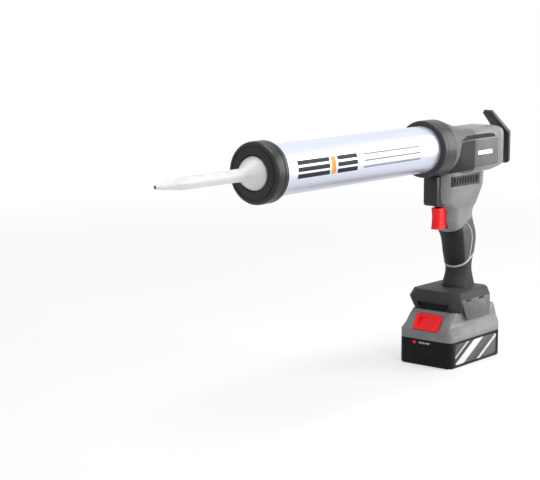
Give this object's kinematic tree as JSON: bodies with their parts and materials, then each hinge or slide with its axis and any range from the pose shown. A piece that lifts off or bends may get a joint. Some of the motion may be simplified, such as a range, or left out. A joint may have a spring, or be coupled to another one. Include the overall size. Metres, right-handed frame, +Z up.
{
  "type": "cordless sealant gun",
  "caption": "Cordless sealant gun with a long bright barrel, screw cap and cone nozzle, a rack driven push rod, a red trigger, and a slide-on battery that it stands on.",
  "frame": {"origin": "middle of the battery's flat underside, which the gun stands on", "axes": "X forward along the barrel, Y to the gun's left, Z up"},
  "size_m": [0.646, 0.075, 0.302],
  "materials": {
    "bright_tube": "bright polished tube",
    "charcoal_plastic": "moulded charcoal",
    "dark_casting": "dark coated casting",
    "bare_casting": "bare casting",
    "grey_plastic": "fine textured grey",
    "black_plastic": "moulded black",
    "grip_rubber": "soft black overmould",
    "seal_rubber": "smooth rubber",
    "pale_trim": "pale grey trim",
    "bearing_brass": "turned brass",
    "board_green": "circuit board",
    "steel": "machined steel",
    "black_steel": "black coated strip",
    "red_plastic": "glossy red",
    "white_plastic": "translucent white",
    "gauge_window": "dark window",
    "cell_can": "sleeved cell"
  },
  "bodies": {
    "housing": {"barrel_tube": "bright_tube", "barrel_collar": "charcoal_plastic", "rod_guide": "dark_casting", "gear_housing": "grey_plastic", "rear_cap": "grey_plastic", "rod_bush": "bearing_brass", "left_shell": "grey_plastic", "right_shell": "grey_plastic", "vent_panels": "black_plastic", "nose_block": "black_plastic", "grip_rubber": "grip_rubber", "grip_piping": "pale_trim", "battery_foot": "black_plastic", "foot_skirts": "grey_plastic", "control_board": "board_green", "terminal_block": "black_plastic", "terminal_blades": "bearing_brass", "trigger_switch": "black_plastic", "housing_screws": "steel", "shaft_bearings": "steel", "gear_frame": "bare_casting", "gearbox_case": "steel", "motor_can": "steel", "motor_end_bell": "black_plastic"},
    "rod": {"push_rod": "steel", "piston": "black_plastic", "piston_seal": "seal_rubber", "piston_screw": "steel", "pull_hook": "black_steel", "hook_screw": "steel"},
    "pinion": {"rack_pinion": "steel", "bevel_gear": "steel"},
    "drive": {"bevel_pinion": "steel"},
    "trigger": {"trigger": "red_plastic"},
    "nozzle": {"nozzle": "white_plastic"},
    "cap": {"front_cap": "charcoal_plastic"},
    "battery": {"battery_lower_shell": "black_plastic", "battery_upper_shell": "grey_plastic", "battery_front_plate": "black_plastic", "charge_gauge": "gauge_window", "battery_rail": "black_plastic", "battery_contacts": "bearing_brass", "battery_screws": "steel", "battery_cells": "cell_can", "cell_holders": "black_plastic", "battery_board": "board_green"},
    "button": {"release_button": "red_plastic"}
  },
  "joints": [
    {"name": "rod_slide", "type": "slide", "parent": "housing", "child": "rod", "axis": [1, 0, 0], "range_m": [-0.255, 0.024]},
    {"name": "pinion_spin", "type": "hinge", "parent": "housing", "child": "pinion", "pos_m": [-0.012, 0, 0.2495], "axis": [0, 1, 0], "range_deg": [-1430, 145]},
    {"name": "drive_spin", "type": "hinge", "parent": "housing", "child": "drive", "pos_m": [-0.012, 0, 0.2495], "axis": [0, 0, -1], "range_deg": [-290, 2860]},
    {"name": "trigger_pull", "type": "slide", "parent": "housing", "child": "trigger", "axis": [-1, 0, 0], "range_m": [0, 0.006], "stiffness_N_per_m": 900, "springref_m": -0.003},
    {"name": "nozzle_lift", "type": "slide", "parent": "housing", "child": "nozzle", "axis": [1, 0, 0], "range_m": [0, 0.008]},
    {"name": "cap_turn", "type": "hinge", "parent": "nozzle", "child": "cap", "pos_m": [0.38, 0, 0.264], "axis": [1, 0, 0], "range_deg": [0, 720]},
    {"name": "battery_slide", "type": "slide", "parent": "housing", "child": "battery", "axis": [1, 0, 0], "range_m": [0, 0.08]},
    {"name": "button_press", "type": "slide", "parent": "battery", "child": "button", "axis": [-0.8209, 0, -0.5711], "range_m": [0, 0.003], "stiffness_N_per_m": 1500, "springref_m": -0.001}
  ],
  "couplings": [
    {"joint": "pinion_spin", "follows": "rod_slide", "rad_per_m": 95.238},
    {"joint": "drive_spin", "follows": "rod_slide", "rad_per_m": -190.48},
    {"joint": "nozzle_lift", "follows": "cap_turn", "m_per_rad": 0.00063662}
  ]
}
